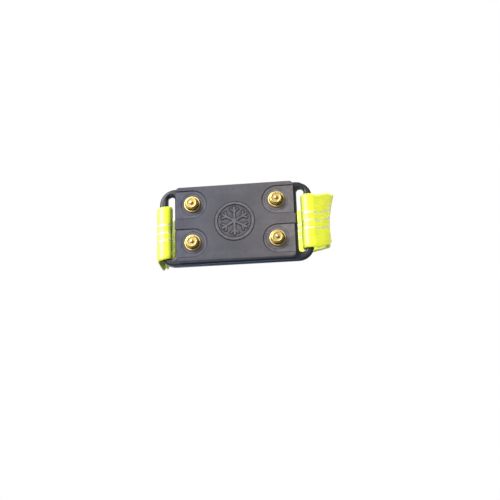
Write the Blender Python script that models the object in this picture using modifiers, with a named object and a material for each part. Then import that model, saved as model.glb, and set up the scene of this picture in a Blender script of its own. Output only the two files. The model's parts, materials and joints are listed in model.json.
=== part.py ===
"""A mid-sole ice cleat: a studded rubber tread block on a loop frame, held under a shoe by a webbing strap.

+Z is up as the cleat is worn, -Y is towards the toe, and X runs across the shoe. The origin is the
centre of the face that bears on the shoe's sole, and the four studs point down. The strap is drawn as
it lies round a shoe: its sewn end loops round the left bar, it passes over the instep, goes down
through the right slot, turns round the right bar and closes on itself with hook and loop.
"""

import math

import bmesh
import bpy
from mathutils import Vector

MM = 0.001
GAP = 0.3 * MM  # between pieces that touch on the real object
TINY = 0.001 * MM  # merge distance
OVERCUT = 1 * MM  # how far a cutter runs past the face that it cuts

# The stack, downwards from the face under the shoe
PAD_THICKNESS = 3.4 * MM
PLATE_THICKNESS = 0.8 * MM
WEB_THICKNESS = 2.3 * MM
FRAME_THICKNESS = 5.3 * MM
BLOCK_THICKNESS = 4.8 * MM
STUD_HEIGHT = 5.7 * MM  # from the floor of its recess to the tip of its pin

PAD_BASE = -PAD_THICKNESS
PLATE_TOP = PAD_BASE - GAP
PLATE_BASE = PLATE_TOP - PLATE_THICKNESS
WEB_TOP = PLATE_BASE - GAP
FRAME_BASE = WEB_TOP - WEB_THICKNESS
FRAME_TOP = FRAME_BASE + FRAME_THICKNESS
BLOCK_TOP = FRAME_BASE - GAP
BLOCK_FACE = BLOCK_TOP - BLOCK_THICKNESS

# Loop frame
FRAME_WIDTH = 98.2 * MM
FRAME_DEPTH = 51.4 * MM
FRAME_SETBACK = 0.4 * MM  # the frame's rim stands out further on the heel side
FRAME_CORNER = 10.0 * MM
FRAME_ROUNDING = 1.6 * MM
BAR_WIDTH = 5.2 * MM
SLOT_WIDTH = 4.7 * MM
SLOT_LENGTH = 41.6 * MM
POCKET_WIDTH = 69.0 * MM
POCKET_DEPTH = 42.0 * MM
POCKET_CORNER = 3.0 * MM

# Tread block
BLOCK_WIDTH = 75.0 * MM
BLOCK_DEPTH = 49.0 * MM
BLOCK_CORNER = 2.2 * MM
BLOCK_ROUNDING = 0.8 * MM
RECESS_DEPTH = 0.7 * MM
RECESS_RADIUS = 9.2 * MM
RING_RADIUS = 7.1 * MM
RING_GROOVE = 0.45 * MM
END_TAB_WIDTH = 6.4 * MM
END_TAB_REACH = 0.9 * MM
EMBLEM_RADIUS = 12.6 * MM
EMBLEM_LINE = 1.9 * MM
EMBLEM_HEIGHT = 0.6 * MM

# Studs
STUD_SPACING_X = 53.5 * MM
STUD_SPACING_Y = 25.2 * MM
SHANK_RADIUS = 2.5 * MM
FLANGE_RADIUS = 5.25 * MM
HEX_CORNER_RADIUS = 4.25 * MM
CAP_RADIUS = 3.4 * MM
PIN_RADIUS = 1.1 * MM
PIN_PROUD = 1.0 * MM  # of the cap
PIN_HOLE_DEPTH = 2.2 * MM
NUT_BARREL_RADIUS = 3.7 * MM
NUT_FLANGE_RADIUS = 5.4 * MM
NUT_FLANGE_THICKNESS = 0.8 * MM

RECESS_FLOOR = BLOCK_FACE + RECESS_DEPTH
GROUND = RECESS_FLOOR - STUD_HEIGHT
FLANGE_SEAT = RECESS_FLOOR - GAP
NUT_TOP = PLATE_TOP + GAP + NUT_FLANGE_THICKNESS

# Sole pad
GRIP_PITCH = 6.8 * MM
GRIP_GROOVE_WIDTH = 1.3 * MM
GRIP_GROOVE_DEPTH = 0.9 * MM

# Strap
STRAP_WIDTH = 35.0 * MM
STRAP_THICKNESS = 1.6 * MM
PATCH_WIDTH = 32.0 * MM
PATCH_THICKNESS = 1.1 * MM
FOLD_RADIUS = 4.1 * MM  # of the webbing's middle where it turns round a bar
LEFT_FOLD_X = -46.1 * MM
LEFT_FOLD_REACH = 4.5 * MM  # the left fold is slack, so it is wider than it is high
LEFT_PINCH = 1.0 * MM  # how much narrower the webbing is where it is gathered in the left slot
LEVEL_HEIGHT = 2.0 * MM  # the webbing's cross lines stay parallel to the bars up to here
BAR_X = (FRAME_WIDTH - BAR_WIDTH) / 2
BAR_Z = (FRAME_BASE + FRAME_TOP) / 2
PLY_STEP = STRAP_THICKNESS + 2 * GAP
PATCH_STEP = (STRAP_THICKNESS + PATCH_THICKNESS) / 2 + GAP
HOOK_STEP = PATCH_THICKNESS + GAP
TAB_STEP = 2 * PATCH_STEP + HOOK_STEP
FOLD_END = 318.0  # degrees about the right bar, where the closing leg leaves it
FOLD_LIP = 0.8 * MM
CLOSURE_START = Vector((57.0, -15.5, 58.0)) * MM
SHOULDER = Vector((50.0, -22.0, 98.0)) * MM
TAB_END = Vector((-16.0, -24.0, 122.0)) * MM
LOOP_END = Vector((-36.0, -22.0, 114.0)) * MM

CORNERS = {
    "toe_left": (-1, -1),
    "toe_right": (1, -1),
    "heel_left": (-1, 1),
    "heel_right": (1, 1),
}


# ---------------------------------------------------------------- scene helpers


def clear_scene():
    for old in list(bpy.data.objects):
        bpy.data.objects.remove(old, do_unlink=True)


def new_collection(name):
    made = bpy.data.collections.new(name)
    bpy.context.scene.collection.children.link(made)
    return made


def material(name, colour, roughness, metallic=0.0):
    made = bpy.data.materials.new(name)
    made.use_nodes = True
    shader = made.node_tree.nodes["Principled BSDF"]
    shader.inputs["Base Color"].default_value = (*colour, 1.0)
    shader.inputs["Roughness"].default_value = roughness
    shader.inputs["Metallic"].default_value = metallic
    made.diffuse_color = (*colour, 1.0)
    return made


def object_from(bm, name, collection, look=None):
    """Turns a bmesh into an object of the collection."""
    mesh = bpy.data.meshes.new(name)
    bm.to_mesh(mesh)
    bm.free()
    made = bpy.data.objects.new(name, mesh)
    collection.objects.link(made)
    if look:
        mesh.materials.append(look)
    return made


def as_cutter(obj):
    obj.hide_render = True
    obj.display_type = "WIRE"
    return obj


def combine(obj, other, operation):
    modifier = obj.modifiers.new(f"{operation.lower()} {other.name}", "BOOLEAN")
    modifier.operation = operation
    modifier.object = other


def round_edges(obj, width, segments, angle=50):
    modifier = obj.modifiers.new("rounded edges", "BEVEL")
    modifier.width = width
    modifier.segments = segments
    modifier.use_clamp_overlap = False
    modifier.limit_method = "ANGLE"
    modifier.angle_limit = math.radians(angle)


def smooth(obj, angle=35):
    obj.data.shade_smooth()
    obj.data.set_sharp_from_angle(angle=math.radians(angle))


# ---------------------------------------------------------------- solid helpers


def plate(name, collection, size, low, high, corner, look=None, centre=(0.0, 0.0), segments=6):
    """A flat plate with rounded corners, size across X and Y, between two heights."""
    bm = bmesh.new()
    bmesh.ops.create_cube(bm, size=1.0)
    bmesh.ops.scale(bm, vec=(size[0], size[1], high - low), verts=bm.verts)
    bmesh.ops.translate(bm, vec=(centre[0], centre[1], (low + high) / 2), verts=bm.verts)
    if corner:
        uprights = [e for e in bm.edges if abs(e.verts[0].co.z - e.verts[1].co.z) > TINY]
        bmesh.ops.bevel(
            bm, geom=uprights, offset=corner, segments=segments, profile=0.5, affect="EDGES"
        )
    return object_from(bm, name, collection, look)


def cylinder(name, collection, radius, low, high, centre, segments=32, look=None):
    bm = bmesh.new()
    bmesh.ops.create_cone(
        bm, cap_ends=True, segments=segments, radius1=radius, radius2=radius, depth=high - low
    )
    bmesh.ops.translate(bm, vec=(centre[0], centre[1], (low + high) / 2), verts=bm.verts)
    return object_from(bm, name, collection, look)


def turned(name, collection, profile, centre, look=None, steps=32, closed=False):
    """A turned piece on a vertical axis, from (radius, height) points that run down its outer side."""
    bm = bmesh.new()
    points = [bm.verts.new((radius, 0.0, height)) for radius, height in profile]
    for first, second in zip(points, points[1:]):
        bm.edges.new((first, second))
    if closed:
        bm.edges.new((points[-1], points[0]))
    made = object_from(bm, name, collection, look)
    made.location = (centre[0], centre[1], 0.0)
    screw = made.modifiers.new("turned", "SCREW")
    screw.axis = "Z"
    screw.steps = screw.render_steps = steps
    screw.use_merge_vertices = True
    screw.merge_threshold = TINY
    screw.use_smooth_shade = False
    return made


# ---------------------------------------------------------------- strap helpers


def spline(points, step=3.0 * MM):
    """Points every step along a smooth curve through the given ones."""
    ends = [2 * points[0] - points[1], *points, 2 * points[-1] - points[-2]]
    dense = []
    for a, b, c, d in zip(ends, ends[1:], ends[2:], ends[3:]):
        for i in range(24):
            t = i / 24
            dense.append(
                0.5
                * (
                    2 * b
                    + (c - a) * t
                    + (2 * a - 5 * b + 4 * c - d) * t * t
                    + (3 * b - a - 3 * c + d) * t * t * t
                )
            )
    dense.append(points[-1].copy())
    return respaced(dense, step)


def respaced(points, step):
    """The polyline again, with its points an equal distance apart."""
    lengths = [0.0]
    for a, b in zip(points, points[1:]):
        lengths.append(lengths[-1] + (b - a).length)
    count = max(2, round(lengths[-1] / step))
    made = []
    at = 0
    for i in range(count + 1):
        wanted = lengths[-1] * i / count
        while at < len(points) - 2 and lengths[at + 1] < wanted:
            at += 1
        share = (wanted - lengths[at]) / (lengths[at + 1] - lengths[at])
        made.append(points[at].lerp(points[at + 1], min(share, 1.0)))
    return made


def tangents(points):
    made = []
    for i in range(len(points)):
        ahead = points[min(i + 1, len(points) - 1)]
        behind = points[max(i - 1, 0)]
        made.append((ahead - behind).normalized())
    return made


def across(point, tangent):
    """The direction across the webbing: along the bars near them, and square to its run higher up."""
    y_axis = Vector((0.0, 1.0, 0.0))
    square = ease((point.z - LEVEL_HEIGHT) / (24 * MM))
    return (y_axis - square * y_axis.dot(tangent) * tangent).normalized()


def shifted(points, distances):
    """The run moved square to the webbing, away from the shoe where the run goes from right to left."""
    made = []
    for point, tangent, distance in zip(points, tangents(points), distances):
        made.append(point + across(point, tangent).cross(tangent).normalized() * distance)
    return made


def ribbon(name, collection, run, widths, thickness, look):
    """A flat strip along the run, as an open surface thickened evenly to both sides."""
    bm = bmesh.new()
    rows = []
    for point, tangent, width in zip(run, tangents(run), widths):
        reach = across(point, tangent) * width / 2
        rows.append([bm.verts.new(point - reach), bm.verts.new(point + reach)])
    for first, second in zip(rows, rows[1:]):
        bm.faces.new((first[0], second[0], second[1], first[1]))
    made = object_from(bm, name, collection, look)
    solidify = made.modifiers.new("thickness", "SOLIDIFY")
    solidify.thickness = thickness
    solidify.offset = 0.0
    solidify.use_even_offset = True
    return made


def fold(centre_x, reach, first, last, steps=14):
    """The middle of the webbing round a bar, between two (degrees about the bar, place along it)."""
    made = []
    for i in range(steps + 1):
        share = i / steps
        angle = math.radians(first[0] + (last[0] - first[0]) * share)
        y = first[1] + (last[1] - first[1]) * ease(share)
        x = centre_x + reach * math.cos(angle)
        made.append(Vector((x, y, BAR_Z + FOLD_RADIUS * math.sin(angle))))
    return made


def mm_points(*points):
    return [Vector(point) * MM for point in points]


# ---------------------------------------------------------------- plate stack


def stud_places():
    for name, (side, end) in CORNERS.items():
        yield name, (side * STUD_SPACING_X / 2, end * STUD_SPACING_Y / 2)


def make_tread_block(parts, cutters, look):
    block = plate(
        "tread_block", parts, (BLOCK_WIDTH, BLOCK_DEPTH), BLOCK_FACE, BLOCK_TOP, BLOCK_CORNER, look,
        segments=5,
    )
    round_edges(block, BLOCK_ROUNDING, 3)
    for side in (-1, 1):
        reach = END_TAB_REACH + 3 * MM
        tab = plate(
            f"end_tab_{side}", cutters, (reach, END_TAB_WIDTH), BLOCK_FACE, BLOCK_TOP - 1 * MM,
            0.5 * MM, centre=(side * (BLOCK_WIDTH / 2 + END_TAB_REACH - reach / 2), 0.0), segments=2,
        )
        combine(block, as_cutter(tab), "UNION")
    for name, (x, y) in stud_places():
        # The recess runs from its round inner end out past the block's side.
        side = math.copysign(1, x)
        outer = side * (BLOCK_WIDTH / 2 + RECESS_RADIUS)
        inner = x - side * RECESS_RADIUS
        recess = plate(
            f"recess_{name}", cutters, (abs(outer - inner), 2 * RECESS_RADIUS),
            BLOCK_FACE - OVERCUT, RECESS_FLOOR, RECESS_RADIUS - 0.01 * MM,
            centre=((outer + inner) / 2, y), segments=8,
        )
        combine(block, as_cutter(recess), "DIFFERENCE")
        ring = ring_cutter(f"ring_{name}", cutters, (x, y))
        combine(block, ring, "DIFFERENCE")
        hole = cylinder(
            f"stud_hole_{name}", cutters, SHANK_RADIUS + GAP, BLOCK_FACE - OVERCUT,
            BLOCK_TOP + OVERCUT, (x, y), 24,
        )
        combine(block, as_cutter(hole), "DIFFERENCE")
    for piece in emblem(cutters):
        combine(block, as_cutter(piece), "UNION")
    return block


def ring_cutter(name, cutters, centre):
    """A shallow V groove round a stud, cut into the floor of its recess."""
    outside = RING_RADIUS + RING_GROOVE
    profile = (
        (outside, RECESS_FLOOR - 0.2 * MM),
        (RING_RADIUS - RING_GROOVE, RECESS_FLOOR - 0.2 * MM),
        (RING_RADIUS, RECESS_FLOOR + 0.3 * MM),
    )
    return as_cutter(turned(name, cutters, profile, centre, steps=32, closed=True))


def emblem(cutters):
    """A raised round border with a plain six-armed snow star in it."""
    low, high = BLOCK_FACE - EMBLEM_HEIGHT, BLOCK_FACE + 0.5 * MM
    inner = EMBLEM_RADIUS - EMBLEM_LINE
    yield turned(
        "emblem_border", cutters,
        ((EMBLEM_RADIUS, high), (EMBLEM_RADIUS, low + 0.3 * MM), (EMBLEM_RADIUS - 0.3 * MM, low),
         (inner + 0.3 * MM, low), (inner, low + 0.3 * MM), (inner, high)),
        (0.0, 0.0), steps=40, closed=True,
    )
    arm = inner - 1.4 * MM
    for i in range(3):
        star = plate(
            f"emblem_arm_{i}", cutters, (2 * arm, EMBLEM_LINE * 0.9), low + 0.1 * i * TINY, high, 0.0
        )
        star.rotation_euler.z = math.radians(90 + 60 * i)
        yield star
    for i in range(6):
        # Two short barbs make a chevron near the end of each arm.
        turn = math.radians(90 + 60 * i)
        place = Vector((math.cos(turn), math.sin(turn), 0.0)) * arm * 0.62
        for lean in (-1, 1):
            barb = plate(
                f"emblem_barb_{i}_{lean}", cutters, (3.6 * MM, EMBLEM_LINE * 0.7),
                low + 0.05 * MM, high, 0.0, centre=(1.8 * MM, 0.0),
            )
            barb.location = place
            barb.rotation_euler.z = turn + lean * math.radians(50)
            yield barb


def make_loop_frame(parts, cutters, look):
    frame = plate(
        "loop_frame", parts, (FRAME_WIDTH, FRAME_DEPTH), FRAME_BASE, FRAME_TOP, FRAME_CORNER, look,
        centre=(0.0, FRAME_SETBACK),
    )
    for side in (-1, 1):
        slot = plate(
            f"slot_{side}", cutters, (SLOT_WIDTH, SLOT_LENGTH), FRAME_BASE - OVERCUT,
            FRAME_TOP + OVERCUT, SLOT_WIDTH / 2 - 0.01 * MM,
            centre=(side * (BAR_X - (BAR_WIDTH + SLOT_WIDTH) / 2), 0.0),
        )
        combine(frame, as_cutter(slot), "DIFFERENCE")
    round_edges(frame, FRAME_ROUNDING, 3)
    pocket = plate(
        "pocket", cutters, (POCKET_WIDTH, POCKET_DEPTH), WEB_TOP, FRAME_TOP + OVERCUT, POCKET_CORNER
    )
    combine(frame, as_cutter(pocket), "DIFFERENCE")
    for name, centre in stud_places():
        hole = cylinder(
            f"nut_hole_{name}", cutters, NUT_BARREL_RADIUS + GAP, FRAME_BASE - OVERCUT,
            WEB_TOP + OVERCUT, centre, 24,
        )
        combine(frame, as_cutter(hole), "DIFFERENCE")
    return frame


def make_backing_plate(parts, cutters, look):
    size = (POCKET_WIDTH - 2 * GAP, POCKET_DEPTH - 2 * GAP)
    made = plate("backing_plate", parts, size, PLATE_BASE, PLATE_TOP, POCKET_CORNER - GAP, look, segments=5)
    for name, centre in stud_places():
        hole = cylinder(
            f"plate_hole_{name}", cutters, NUT_BARREL_RADIUS + GAP, PLATE_BASE - OVERCUT,
            PLATE_TOP + OVERCUT, centre, 24,
        )
        combine(made, as_cutter(hole), "DIFFERENCE")
    return made


def make_sole_pad(parts, cutters, look):
    size = (POCKET_WIDTH - 2 * GAP, POCKET_DEPTH - 2 * GAP)
    pad = plate("sole_pad", parts, size, PAD_BASE, 0.0, POCKET_CORNER - GAP, look, segments=5)
    round_edges(pad, 0.4 * MM, 2)
    for i in range(3):
        for side in (-1, 1):
            groove = plate(
                f"grip_groove_{i}_{side}", cutters, (size[0] + 2 * MM, GRIP_GROOVE_WIDTH),
                -GRIP_GROOVE_DEPTH, OVERCUT, 0.0, centre=(0.0, side * GRIP_PITCH * (i + 0.5)),
            )
            combine(pad, as_cutter(groove), "DIFFERENCE")
    for name, centre in stud_places():
        hollow = cylinder(
            f"nut_hollow_{name}", cutters, NUT_FLANGE_RADIUS + GAP, PAD_BASE - OVERCUT,
            NUT_TOP + GAP, centre, 24,
        )
        combine(pad, as_cutter(hollow), "DIFFERENCE")
    return pad


# ---------------------------------------------------------------- studs


def make_stud(name, centre, parts, cutters, look):
    """A hex-flange stud: its shank goes up into the nut, and its cap holds the pin in a blind hole."""
    cap_face = GROUND + PIN_PROUD
    hole_floor = cap_face + PIN_HOLE_DEPTH
    shank_end = NUT_TOP - 0.6 * MM
    profile = (
        (0.0, shank_end),
        (SHANK_RADIUS - 0.5 * MM, shank_end),
        (SHANK_RADIUS, shank_end - 0.5 * MM),
        (SHANK_RADIUS, FLANGE_SEAT),
        (FLANGE_RADIUS - 0.25 * MM, FLANGE_SEAT),
        (FLANGE_RADIUS, FLANGE_SEAT - 0.3 * MM),
        (FLANGE_RADIUS, FLANGE_SEAT - 0.7 * MM),
        (FLANGE_RADIUS - 0.18 * MM, FLANGE_SEAT - 0.98 * MM),
        (FLANGE_RADIUS - 0.5 * MM, FLANGE_SEAT - 1.08 * MM),
        (FLANGE_RADIUS - 0.85 * MM, FLANGE_SEAT - 0.95 * MM),
        (FLANGE_RADIUS - 1.1 * MM, FLANGE_SEAT - 0.7 * MM),
        (CAP_RADIUS, FLANGE_SEAT - 0.7 * MM),
        (CAP_RADIUS, cap_face + 0.5 * MM),
        (CAP_RADIUS - 0.15 * MM, cap_face + 0.15 * MM),
        (CAP_RADIUS - 0.5 * MM, cap_face),
        (CAP_RADIUS - 0.75 * MM, cap_face + 0.2 * MM),
        (0.0, cap_face + 0.35 * MM),
    )
    stud = turned(f"stud_{name}", parts, profile, centre, look, steps=24)
    hexagon = cylinder(
        f"stud_hex_{name}", cutters, HEX_CORNER_RADIUS, cap_face + 1.1 * MM,
        FLANGE_SEAT - 0.4 * MM, (0.0, 0.0), 6,
    )
    hexagon.location = (*centre, 0.0)
    hexagon.rotation_euler.z = math.radians(12)
    # The hexagon fills part of the pin's hole, which is drilled after it.
    hole = cylinder(f"pin_hole_{name}", cutters, PIN_RADIUS + GAP, GROUND, hole_floor, centre, 20)
    combine(stud, as_cutter(hexagon), "UNION")
    combine(stud, as_cutter(hole), "DIFFERENCE")
    return stud


def make_pin(name, centre, parts, look):
    """The hard pin pressed into the stud: the only part that bites into the ice."""
    top = GROUND + PIN_PROUD + PIN_HOLE_DEPTH - GAP
    profile = (
        (0.0, top),
        (PIN_RADIUS, top),
        (PIN_RADIUS, GROUND + 0.8 * MM),
        (PIN_RADIUS - 0.15 * MM, GROUND + 0.4 * MM),
        (PIN_RADIUS - 0.55 * MM, GROUND),
        (0.0, GROUND),
    )
    return turned(f"carbide_pin_{name}", parts, profile, centre, look, steps=20)


def make_tee_nut(name, centre, parts, look):
    barrel_end = FRAME_BASE + GAP
    bore = SHANK_RADIUS + GAP
    flange_base = NUT_TOP - NUT_FLANGE_THICKNESS
    profile = (
        (bore, NUT_TOP),
        (NUT_FLANGE_RADIUS - 0.2 * MM, NUT_TOP),
        (NUT_FLANGE_RADIUS, NUT_TOP - 0.2 * MM),
        (NUT_FLANGE_RADIUS, flange_base),
        (NUT_BARREL_RADIUS, flange_base),
        (NUT_BARREL_RADIUS, barrel_end),
        (bore, barrel_end),
    )
    return turned(f"tee_nut_{name}", parts, profile, centre, look, steps=16, closed=True)


# ---------------------------------------------------------------- strap


def arch_points():
    """The webbing over the shoe, from above the left bar to the inner side of the right bar."""
    return mm_points(
        (-51.0, 5.0, 3.0),
        (-52.2, 4.8, 14.0),
        (-54.2, 2.6, 28.0),
        (-57.0, -2.2, 44.0),
        (-58.2, -8.5, 62.0),
        (-54.8, -14.0, 85.0),
        (-43.0, -20.0, 104.5),
        (-23.0, -23.5, 117.0),
        (0.0, -24.5, 121.0),
        (23.0, -24.5, 117.0),
        (42.0, -23.5, 105.0),
        (53.2, -21.5, 88.0),
        (56.6, -17.5, 67.0),
        (56.7, -14.8, 48.0),
        (56.1, -11.5, 33.0),
        (53.8, -7.6, 19.5),
        (49.4, -3.6, 9.8),
        (44.6, -0.2, 3.6),
        (42.6, 0.9, -1.0),
        (42.4, 1.2, -3.9),
    )


def sewn_tail_points():
    """The strap's own end, turned up inside the left leg and sewn to it, from its end down to the bar."""
    return mm_points(
        (-53.4, -0.1, 37.0),
        (-50.2, 3.6, 23.0),
        (-46.6, 4.5, 11.0),
        (-43.0, 3.5, 2.0),
    )


def outer_leg_points():
    """The outer ply on the right, from beside the bar to where it lies against the inner ply."""
    return mm_points(
        (52.3, 0.8, -4.1),
        (55.6, -0.9, -0.2),
        (58.8, -3.3, 5.4),
        (60.4, -5.0, 12.0),
        (60.7, -6.9, 20.0),
        (60.2, -9.6, 32.0),
        (59.6, -12.6, 44.0),
    )


def nearest_index(points, wanted):
    return min(range(len(points)), key=lambda i: (points[i] - wanted).length)


def ease(share):
    share = min(max(share, 0.0), 1.0)
    return share * share * (3 - 2 * share)


def make_strap(parts, looks):
    """The strap and its closure, from one run of webbing: strap, fold, flap, tab and the two patches."""
    webbing, pile = looks
    arch = spline(arch_points())
    left_turn = fold(LEFT_FOLD_X, LEFT_FOLD_REACH, (0, 3.3 * MM), (-180, 4.8 * MM))
    start = [*spline(sewn_tail_points()), *left_turn]
    widths = [STRAP_WIDTH - LEFT_PINCH * (1 - ease(2 * i / len(start) - 1)) for i in range(len(start))]
    widths += [STRAP_WIDTH] * len(arch)
    ribbon("strap", parts, [*start, *arch], widths, STRAP_THICKNESS, webbing)
    turn = fold(BAR_X, FOLD_RADIUS, (182, 1.2 * MM), (FOLD_END, 1.2 * MM))
    leaving = math.radians(FOLD_END + 90)
    turn.append(turn[-1] + FOLD_LIP * Vector((math.cos(leaving), 0.0, math.sin(leaving))))
    ribbon("strap_fold", parts, turn, [STRAP_WIDTH] * len(turn), STRAP_THICKNESS, webbing)

    # The closure lies on the arch, from above the right bar over the instep towards the left.
    back = list(reversed(arch))
    back = back[nearest_index(back, CLOSURE_START):]
    reach = [(point - back[0]).length for point in back]
    lifts = [PLY_STEP + (TAB_STEP - PLY_STEP) * ease((far - 2 * MM) / (26 * MM)) for far in reach]
    over = shifted(back, lifts)
    shoulder = nearest_index(over, SHOULDER)
    tab_end = nearest_index(over, TAB_END)
    loop_end = nearest_index(over, LOOP_END)
    flap_run = spline([*outer_leg_points(), *over[1:shoulder:4], over[shoulder - 1]])
    hook_places = back[shoulder + 3:tab_end - 1]
    for name, run, width, thickness, look in (
        ("strap_flap", flap_run, STRAP_WIDTH, STRAP_THICKNESS, webbing),
        ("closure_tab", over[shoulder:tab_end + 1], STRAP_WIDTH, STRAP_THICKNESS, webbing),
        (
            "loop_patch", shifted(back[shoulder + 1:loop_end], [PATCH_STEP] * len(back)),
            PATCH_WIDTH, PATCH_THICKNESS, pile,
        ),
        (
            "hook_patch", shifted(hook_places, [PATCH_STEP + HOOK_STEP] * len(back)),
            PATCH_WIDTH, PATCH_THICKNESS, pile,
        ),
    ):
        ribbon(name, parts, run, [width] * len(run), thickness, look)


def main():
    clear_scene()
    parts = new_collection("shoe_ice_cleat")
    cutters = new_collection("cutters")
    rubber = material("block_rubber", (0.045, 0.046, 0.052), 0.62)
    moulded = material("frame_rubber", (0.03, 0.032, 0.038), 0.45)
    pad_rubber = material("pad_rubber", (0.05, 0.05, 0.052), 0.75)
    steel = material("plate_steel", (0.62, 0.63, 0.64), 0.32, 1.0)
    zinc = material("nut_steel", (0.7, 0.7, 0.68), 0.3, 1.0)
    brass = material("stud_brass", (0.86, 0.62, 0.2), 0.25, 1.0)
    carbide = material("pin_carbide", (0.55, 0.53, 0.48), 0.3, 1.0)
    webbing = material("hi_vis_webbing", (0.68, 0.86, 0.05), 0.7)
    pile = material("closure_pile", (0.02, 0.02, 0.022), 0.95)

    flat = [
        make_tread_block(parts, cutters, rubber),
        make_loop_frame(parts, cutters, moulded),
        make_backing_plate(parts, cutters, steel),
        make_sole_pad(parts, cutters, pad_rubber),
    ]
    for name, centre in stud_places():
        flat.append(make_stud(name, centre, parts, cutters, brass))
        flat.append(make_pin(name, centre, parts, carbide))
        flat.append(make_tee_nut(name, centre, parts, zinc))
    for piece in flat:
        smooth(piece)
    make_strap(parts, (webbing, pile))


main()
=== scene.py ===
"""The visual model of a mid-sole ice cleat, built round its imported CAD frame.

The rubber, brass and webbing pieces are finer versions of CAD nodes and stand in for them. The hidden
steel keeps its CAD meshes and gets materials only. Sizes are in millimetres until a mesh is made.
"""

import json
import math

import bpy
import numpy as np
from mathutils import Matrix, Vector
from mathutils.geometry import delaunay_2d_cdt

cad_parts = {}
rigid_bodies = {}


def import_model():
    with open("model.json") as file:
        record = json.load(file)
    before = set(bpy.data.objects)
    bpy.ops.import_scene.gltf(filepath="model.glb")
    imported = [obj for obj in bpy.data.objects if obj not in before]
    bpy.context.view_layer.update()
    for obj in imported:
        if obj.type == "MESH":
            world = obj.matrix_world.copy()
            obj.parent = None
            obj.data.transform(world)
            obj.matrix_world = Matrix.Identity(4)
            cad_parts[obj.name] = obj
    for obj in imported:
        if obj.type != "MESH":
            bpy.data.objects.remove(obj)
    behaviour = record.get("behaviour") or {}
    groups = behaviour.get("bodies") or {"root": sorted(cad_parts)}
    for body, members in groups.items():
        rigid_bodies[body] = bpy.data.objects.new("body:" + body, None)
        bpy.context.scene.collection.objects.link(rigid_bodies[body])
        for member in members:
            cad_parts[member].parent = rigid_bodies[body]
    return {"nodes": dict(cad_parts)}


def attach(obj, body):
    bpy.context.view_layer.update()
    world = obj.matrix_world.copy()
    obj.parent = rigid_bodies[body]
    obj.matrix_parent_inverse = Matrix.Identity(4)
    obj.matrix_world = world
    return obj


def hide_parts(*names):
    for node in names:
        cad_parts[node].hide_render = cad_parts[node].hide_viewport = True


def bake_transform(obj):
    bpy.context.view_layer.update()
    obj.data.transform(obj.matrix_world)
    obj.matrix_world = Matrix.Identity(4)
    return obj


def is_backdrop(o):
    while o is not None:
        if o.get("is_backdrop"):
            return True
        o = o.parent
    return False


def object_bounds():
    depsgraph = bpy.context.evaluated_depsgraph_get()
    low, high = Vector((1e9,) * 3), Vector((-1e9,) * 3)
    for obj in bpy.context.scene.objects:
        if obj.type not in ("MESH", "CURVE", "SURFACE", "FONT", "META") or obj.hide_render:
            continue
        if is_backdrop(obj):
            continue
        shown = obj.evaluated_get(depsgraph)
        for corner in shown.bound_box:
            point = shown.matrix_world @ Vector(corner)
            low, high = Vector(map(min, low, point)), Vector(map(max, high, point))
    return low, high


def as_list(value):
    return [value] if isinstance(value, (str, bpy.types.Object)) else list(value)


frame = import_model()
cad_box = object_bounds()

MM = 0.001

# The stack, downwards from the face under the shoe
PAD_BASE = -3.4
FRAME_TOP = -1.8
WEB_TOP = -4.8
FRAME_BASE = -7.1
BLOCK_TOP = -7.4
BLOCK_FACE = -12.2
GROUND = -17.2

# Loop frame; a pair named HALF is half of a size across X and Y
FRAME_HALF = (49.1, 25.7)
FRAME_SETBACK = 0.4  # the rim stands out further on the heel side
FRAME_CORNER = 10.0
FRAME_ROUNDING = 1.6
BAR_X = 46.5
BAR_Z = -4.45
SLOT_HALF = (2.35, 20.8)
SLOT_CORNER = 2.34
SLOT_INSET = 4.95  # of a slot's middle from its bar's
POCKET_HALF = (34.5, 21.0)
POCKET_CORNER = 3.0
NUT_HOLE_RADIUS = 4.0

# Tread block
BLOCK_HALF = (37.5, 24.5)
BLOCK_CORNER = 2.2
BLOCK_ROUNDING = 0.8
END_TAB_HALF = (3.0, 3.2)
END_TAB_X = 35.4
RECESS_RADIUS = 9.2
RECESS_END_X = 46.7  # where the recesses would end, past the block's sides
RECESS_DEPTH = 0.7
RECESS_WALL = 0.22  # half the width of a recess's sloping wall
RING_RADIUS = 7.1
RING_WIDTH = 0.45
STUD_HOLE_RADIUS = 2.8
GROOVE_DEPTH = 0.24
MARK_RADIUS = 1.75  # a small moulding mark at the right end
MARK_X = 34.3
MARK_WIDTH = 0.4

# The emblem: a border round a snow star, whose arms each have a chevron of two barbs
EMBLEM_RADIUS = 12.6
EMBLEM_INNER_RADIUS = 10.7
EMBLEM_HEIGHT = 0.6
ARM_HALF = (9.3, 0.85)
BARB_HALF = (1.8, 0.66)
BARB_FAR = 5.77  # from the star's middle
BARB_LEAN = math.radians(50)

# Studs
HEX_CORNER_RADIUS = 4.25
FLANGE_RADIUS = 5.25

# Sole pad
PAD_HALF = (34.2, 20.7)
GRIP_PITCH = 6.8
GRIP_GROOVE_DEPTH = 0.9
DIMPLE_RADIUS = 0.9
DIMPLE_DEPTH = 0.35

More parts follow.
